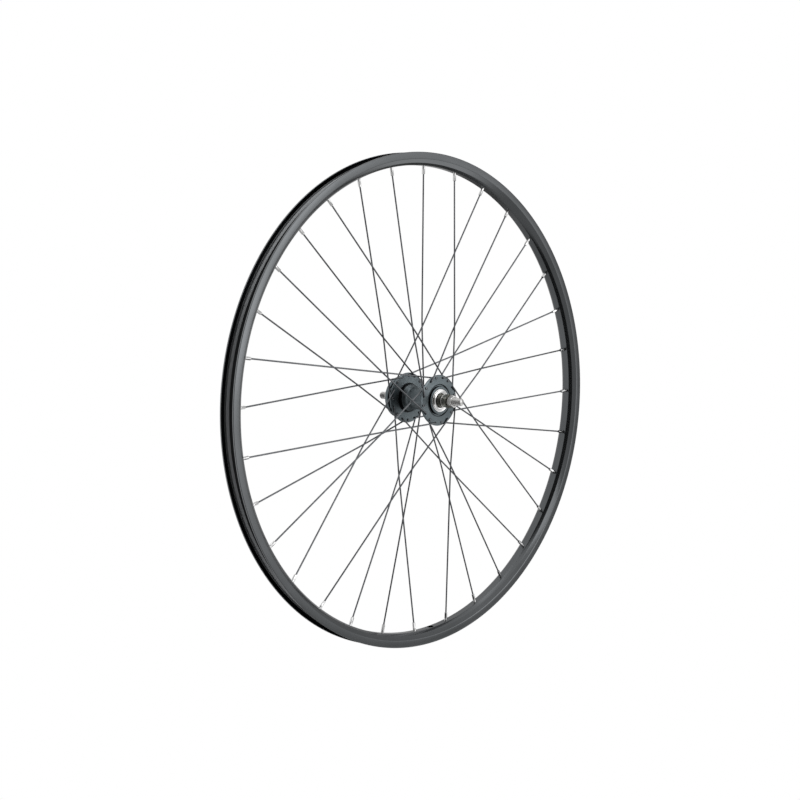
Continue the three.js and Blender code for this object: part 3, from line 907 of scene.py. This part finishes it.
def build_cup(side, ball_y, out):
    """A cup, whose race runs from outside the balls round to their inboard side."""
    race_end = 75
    inboard = ball_y - out * CUP_INBOARD
    outboard = inboard + out * CUP_WIDTH
    section = [
        (CUP_RADIUS, inboard, 0.3),
        (CUP_RADIUS, outboard, 0.3),
        (BALL_PITCH + RACE_RADIUS, outboard, 0.3),
        *race(ball_y, out, 0, race_end),
        (BALL_PITCH + RACE_RADIUS * math.cos(math.radians(race_end)), inboard, 0.2),
    ]
    mesh = turned("cup", rounded(section, 0.2, 3), 96)
    piece = finish_mesh(f"cup_{side}", mesh, PAINTS["race"])
    place(piece, "wheel", "bearing_steel", f"bearing_cup_{side}")


def build_balls(side, ball_y):
    """Ten balls held by a thin pressed cage."""
    work = bmesh.new()
    for i in range(BALLS):
        centre = on_circle(BALL_PITCH, 360 * i / BALLS, ball_y) * MM
        bmesh.ops.create_icosphere(
            work, subdivisions=3, radius=BALL_RADIUS * MM, matrix=Matrix.Translation(centre)
        )
    half = BALL_RADIUS * 0.42
    thin = 0.55
    cage = [
        (BALL_PITCH - thin, ball_y - half),
        (BALL_PITCH + thin, ball_y - half),
        (BALL_PITCH + thin, ball_y + half),
        (BALL_PITCH - thin, ball_y + half),
    ]
    work.from_mesh(turned("cage", rounded(cage, 0.3, 3), 72))
    mesh = bpy.data.meshes.new("balls")
    work.to_mesh(mesh)
    work.free()
    piece = finish_mesh(f"balls_and_cage_{side}", mesh, PAINTS["race"], 60)
    place(piece, f"balls_{side}", "bearing_steel", f"ball_set_{side}")


def build_cap(side, end_y, out):
    """A pressed dust cap: rolled rim, dished web and a turned-in lip."""
    inner = 9.6
    outer = 14.7
    base = end_y - out * (CAP_SEAT_DEPTH - GAP)
    section = [
        (inner, base + out * 0.5, 0.15),
        (13.5, base, 0.5),
        (outer, base, 0.2),
        (outer, base + out * 1.4, 0.5),
        (13.5, base + out * 1.4, 0.5),
        (12.6, base + out * 0.85, 0.4),
        (inner + 0.8, base + out * 1.25, 0.4),
        (inner, base + out * 1.9, 0.15),
    ]
    mesh = turned("cap", rounded(section, 0.2, 4), 96)
    piece = finish_mesh(f"cap_{side}", mesh, PAINTS["cap"])
    place(piece, "wheel", "bright_metal", f"dust_cap_{side}")


def build_cone(side, ball_y, out):
    """Cone with its race, collar and two wrench flats."""
    body = 9.0
    collar = 8.3
    flat = 7.5
    end = out * CONE_END
    shoulder = ball_y + out * (RACE_RADIUS + 0.2)
    neck = end - out * 4.2
    inboard = ball_y - out * (RACE_RADIUS + 0.4)
    section = [
        (AXLE_HOLE, inboard, 0.2),
        (BALL_PITCH - RACE_RADIUS - 0.7, inboard, 0.3),
        (BALL_PITCH - RACE_RADIUS, ball_y - out * 1.2, 0.2),
        *race(ball_y, out, 180, 250),
        (body, shoulder, 0.3),
        (body, neck - out * 0.6, 0.3),
        (collar, neck, 0.3),
        (collar, end, 0.4),
        (AXLE_HOLE, end, 0.3),
    ]
    mesh = turned("cone", rounded(section, 0.2, 3), 96)
    piece = finish_mesh(f"cone_body_{side}", mesh, PAINTS["dark"])
    width, depth, height = 20, 3.0, 12
    flats = []
    for way in (-1, 1):
        work = bmesh.new()
        size = Matrix.Diagonal((width * MM, depth * MM, height * MM, 1))
        middle = Vector((0, end - out * depth / 2, way * (flat + height / 2)))
        spot = Matrix.Translation(middle * MM)
        bmesh.ops.create_cube(work, size=1, matrix=spot @ size)
        block = bpy.data.meshes.new("flat")
        work.to_mesh(block)
        work.free()
        flats.append(block)
    cut(piece, flats)
    place(piece, "axle_assembly", "dark_steel", f"cone_{side}")


def build_washer(name, node, y0, y1, radius, paint, slot, teeth=0):
    """A washer, with fine radial teeth pressed into its rim where it has to bite."""
    tooth_depth = 0.18
    rows = [y0, y0 + (y1 - y0) * 0.25, y0 + (y1 - y0) * 0.75, y1]

    def outline(angle, y):
        edge = 0.3 if y in (y0, y1) else 0
        bite = tooth_depth * (0.5 + 0.5 * math.cos(angle * teeth)) if teeth else 0
        return radius - edge - bite

    mesh = shaped("washer", rows, outline, 192 if teeth else 96, bore=AXLE_HOLE)
    piece = finish_mesh(name, mesh, PAINTS[paint])
    place(piece, "axle_assembly", slot, node)


def build_nut(name, node, y0, y1, flats, paint, slot):
    """A hexagonal nut whose corners are turned down at both ends."""
    corner = flats / math.sqrt(3)
    low, high = min(y0, y1), max(y0, y1)
    depth = 1.1
    count = 6
    steps = [low + depth * i / count for i in range(count + 1)]
    rows = steps + [high - depth * i / count for i in range(count, -1, -1)]

    def outline(angle, y):
        near_end = min(y - low, high - y)
        cone = flats / 2 - 0.25 + (corner - flats / 2 + 0.25) * min(near_end / depth, 1) ** 0.7
        return min(polygon_radius(angle, flats, 6), cone)

    mesh = shaped("nut", rows, outline, 144, bore=AXLE_HOLE)
    piece = finish_mesh(name, mesh, PAINTS[paint], 28)
    place(piece, "axle_assembly", slot, node)


def build_axle():
    """The axle with a real thread, 26 turns to the inch, and a chamfer at each end."""
    pitch = 25.4 / 26
    depth = 0.5
    per_turn = 6
    chamfer = 1.2
    tip_drop = 1.0
    count = int(2 * AXLE_HALF / pitch * per_turn)
    rows = [-AXLE_HALF + 2 * AXLE_HALF * i / count for i in range(count + 1)]

    def outline(angle, y):
        phase = (y / pitch - angle / TURN) % 1
        wave = abs(2 * phase - 1)
        thread = AXLE_RADIUS - depth * min(max(1.25 * wave - 0.12, 0), 1)
        end = AXLE_HALF - abs(y)
        if end >= chamfer:
            return thread
        return min(thread, AXLE_RADIUS - tip_drop + end * tip_drop / chamfer)

    mesh = shaped("axle", rows, outline, 48)
    piece = finish_mesh("axle_threaded", mesh, PAINTS["axle"], 70)
    place(piece, "axle_assembly", "axle_steel", "axle")


def build_axle_stack(side, out):
    """Lock washer, locknut, axle washer and axle nut, from the cone outwards."""
    build_washer(
        f"lock_washer_ring_{side}",
        f"lock_washer_{side}",
        out * (LOCK_WASHER_FACE - LOCK_WASHER_THICKNESS),
        out * LOCK_WASHER_FACE,
        8.2,
        "axle",
        "axle_steel",
    )
    build_nut(
        f"locknut_hex_{side}",
        f"locknut_{side}",
        out * (LOCKNUT_FACE - LOCKNUT_HEIGHT),
        out * LOCKNUT_FACE,
        15.0,
        "locknut",
        "dark_steel",
    )
    washer = LOCKNUT_FACE + GAP
    build_washer(
        f"axle_washer_ring_{side}",
        f"axle_washer_{side}",
        out * washer,
        out * (washer + AXLE_WASHER_THICKNESS),
        8.7,
        "dark",
        "dark_steel",
        teeth=36,
    )
    nut = washer + AXLE_WASHER_THICKNESS + GAP
    build_nut(
        f"axle_nut_hex_{side}",
        f"axle_nut_{side}",
        out * nut,
        out * (nut + AXLE_NUT_HEIGHT),
        14.0,
        "axle",
        "axle_steel",
    )


# ------------------------------------------------------------------ stage, light and camera

CAMERA_AZIMUTH = -45.77
CAMERA_ELEVATION = 5.33
CAMERA_TILT = 1.575  # the camera looks down by this much and is shifted to frame the wheel
CAMERA_DISTANCE = 2.0723
CAMERA_LENS = 72.13
SHIFT_X = -0.02376
SHIFT_Y = -0.13335
FLOOR_REACH = 30
FLOOR_CLEARANCE = 0.0005


def direction(azimuth, elevation):
    """From the wheel towards a camera; azimuth 0 is -Y and 90 is +X."""
    a, e = math.radians(azimuth), math.radians(elevation)
    return Vector((math.sin(a) * math.cos(e), -math.cos(a) * math.cos(e), math.sin(e)))


def build_camera():
    data = bpy.data.cameras.new("camera")
    data.lens = CAMERA_LENS
    data.sensor_width = 36
    data.shift_x = SHIFT_X
    data.shift_y = SHIFT_Y
    data.clip_end = 100
    camera = bpy.data.objects.new("camera", data)
    bpy.context.scene.collection.objects.link(camera)
    wheel_centre = Vector((0, RIM_Y * MM, 0))
    camera.location = wheel_centre + direction(CAMERA_AZIMUTH, CAMERA_ELEVATION) * CAMERA_DISTANCE
    back = direction(CAMERA_AZIMUTH, CAMERA_TILT)
    camera.rotation_mode = "QUATERNION"
    camera.rotation_quaternion = (-back).to_track_quat("-Z", "Y")
    bpy.context.scene.camera = camera


def camera_sees(tree, others, shown, output):
    """Shows one shader to the camera itself and another to every other ray."""
    seen = tree.nodes.new("ShaderNodeLightPath")
    mix = tree.nodes.new("ShaderNodeMixShader")
    tree.links.new(seen.outputs["Is Camera Ray"], mix.inputs[0])
    tree.links.new(others.outputs[0], mix.inputs[1])
    tree.links.new(shown.outputs[0], mix.inputs[2])
    tree.links.new(mix.outputs[0], tree.nodes[output].inputs["Surface"])


def build_floor():
    """A plain floor as white as the backdrop to the camera, and left out of glossy reflections."""
    material = bpy.data.materials.new("floor_white")
    material.use_nodes = True
    nodes = material.node_tree.nodes
    shader = nodes["Principled BSDF"]
    shader.inputs["Base Color"].default_value = (0.9, 0.9, 0.9, 1)
    shader.inputs["Roughness"].default_value = 0.95
    glow = nodes.new("ShaderNodeEmission")
    glow.inputs["Color"].default_value = (1, 1, 1, 1)
    camera_sees(material.node_tree, shader, glow, "Material Output")
    signs = ((-1, -1), (1, -1), (1, 1), (-1, 1))
    corners = [(x * FLOOR_REACH, y * FLOOR_REACH, 0) for x, y in signs]
    mesh = bpy.data.meshes.new("floor")
    mesh.from_pydata(corners, [], [(0, 1, 2, 3)])
    mesh.materials.append(material)
    floor = bpy.data.objects.new("floor", mesh)
    floor.location = (0, 0, FLOOR_Z - FLOOR_CLEARANCE)
    bpy.context.scene.collection.objects.link(floor)
    floor.visible_glossy = False


def softbox(name, position, target, size, power):
    data = bpy.data.lights.new(name, "AREA")
    data.shape = "RECTANGLE"
    data.size, data.size_y = size
    data.energy = power
    light = bpy.data.objects.new(name, data)
    light.location = position
    aim = Vector(target) - Vector(position)
    light.rotation_mode = "QUATERNION"
    light.rotation_quaternion = aim.to_track_quat("-Z", "Y")
    bpy.context.scene.collection.objects.link(light)


def studio_world():
    """White behind the wheel, and a softer room in its reflections: bright to the camera's right,
    a little brighter above, and dark behind the camera and to its left."""
    world = bpy.data.worlds.new("studio")
    bpy.context.scene.world = world
    world.use_nodes = True
    tree = world.node_tree
    nodes, links = tree.nodes, tree.links
    towards_sky = nodes.new("ShaderNodeTexCoord").outputs["Generated"]

    level_only = nodes.new("ShaderNodeVectorMath")
    level_only.operation = "MULTIPLY"
    level_only.inputs[1].default_value = (1, 1, 0)
    links.new(towards_sky, level_only.inputs[0])
    heading = nodes.new("ShaderNodeVectorMath")
    heading.operation = "NORMALIZE"
    links.new(level_only.outputs["Vector"], heading.inputs[0])

    def lobe(towards, start, end, low, high, source=towards_sky):
        """A value that goes from low to high as a direction nears the one given, whose nearness is
        the cosine of the angle between them and counts from start to end."""
        dot = nodes.new("ShaderNodeVectorMath")
        dot.operation = "DOT_PRODUCT"
        dot.inputs[1].default_value = Vector(towards).normalized()
        links.new(source, dot.inputs[0])
        spread = nodes.new("ShaderNodeMapRange")
        spread.interpolation_type = "SMOOTHSTEP"
        ends = {"From Min": start, "From Max": end, "To Min": low, "To Max": high}
        for name, value in ends.items():
            spread.inputs[name].default_value = value
        links.new(dot.outputs["Value"], spread.inputs["Value"])
        return spread.outputs["Result"]

    def combine(operation, a, b):
        node = nodes.new("ShaderNodeMath")
        node.operation = operation
        links.new(a, node.inputs[0])
        links.new(b, node.inputs[1])
        return node.outputs[0]

    # a wide light on the camera's right and its return from low down, a weak one on the left, and
    # the ceiling
    lit = [
        lobe((0.45, -0.88, 0.15), 0.86, 0.98, 0.5, 1.55),
        lobe((0.70, -0.35, -0.62), 0.90, 0.99, 0.0, 0.9),
        lobe((-0.68, 0.73, 0.0), 0.6, 0.95, 0.0, 0.3),
        lobe((0, 0, 1), 0.30, 0.9, 0.0, 0.4),
    ]
    # a dark wall behind the camera and to its left, at every height, and dark floor past the wheel
    shaded = [
        lobe((-0.915, -0.40, 0.0), 0.86, 0.96, 1.0, 0.03, heading.outputs["Vector"]),
        lobe((0.6, 0.4, -0.69), 0.85, 0.95, 1.0, 0.3),
    ]
    level = lit[0]
    for value in lit[1:]:
        level = combine("ADD", level, value)
    for value in shaded:
        level = combine("MULTIPLY", level, value)
    room = nodes["Background"]
    room.inputs["Color"].default_value = (1, 1, 1, 1)
    links.new(level, room.inputs["Strength"])
    backdrop = nodes.new("ShaderNodeBackground")
    backdrop.inputs["Color"].default_value = (1, 1, 1, 1)
    backdrop.inputs["Strength"].default_value = 1.0
    camera_sees(tree, room, backdrop, "World Output")


def build_light():
    bpy.context.scene.view_settings.view_transform = "Standard"
    studio_world()
    softbox("key", (-0.6, -3.2, 2.0), (0, 0, 0), (1.6, 1.6), 10)
    softbox("side", (1.9, -3.3, 0.7), (0, 0, 0), (1.2, 2.0), 6)
    softbox("top", (0, 0.3, 3.0), (0, 0, 0), (2.2, 2.2), 8)


# ------------------------------------------------------------------ assembly

laces = [lace_of(i) for i in range(SPOKES)]
build_rim(laces)
build_tape()
build_spokes(laces)
build_hub(laces)
for side, out, ball_y, end_y in (
    ("plain_side", -1, NEAR_BALL_Y, NEAR_END),
    ("disc_side", 1, FAR_BALL_Y, FAR_END),
):
    build_cup(side, ball_y, out)
    build_balls(side, ball_y)
    build_cap(side, end_y, out)
    build_cone(side, ball_y, out)
    build_axle_stack(side, out)
build_axle()
build_camera()
build_floor()
build_light()
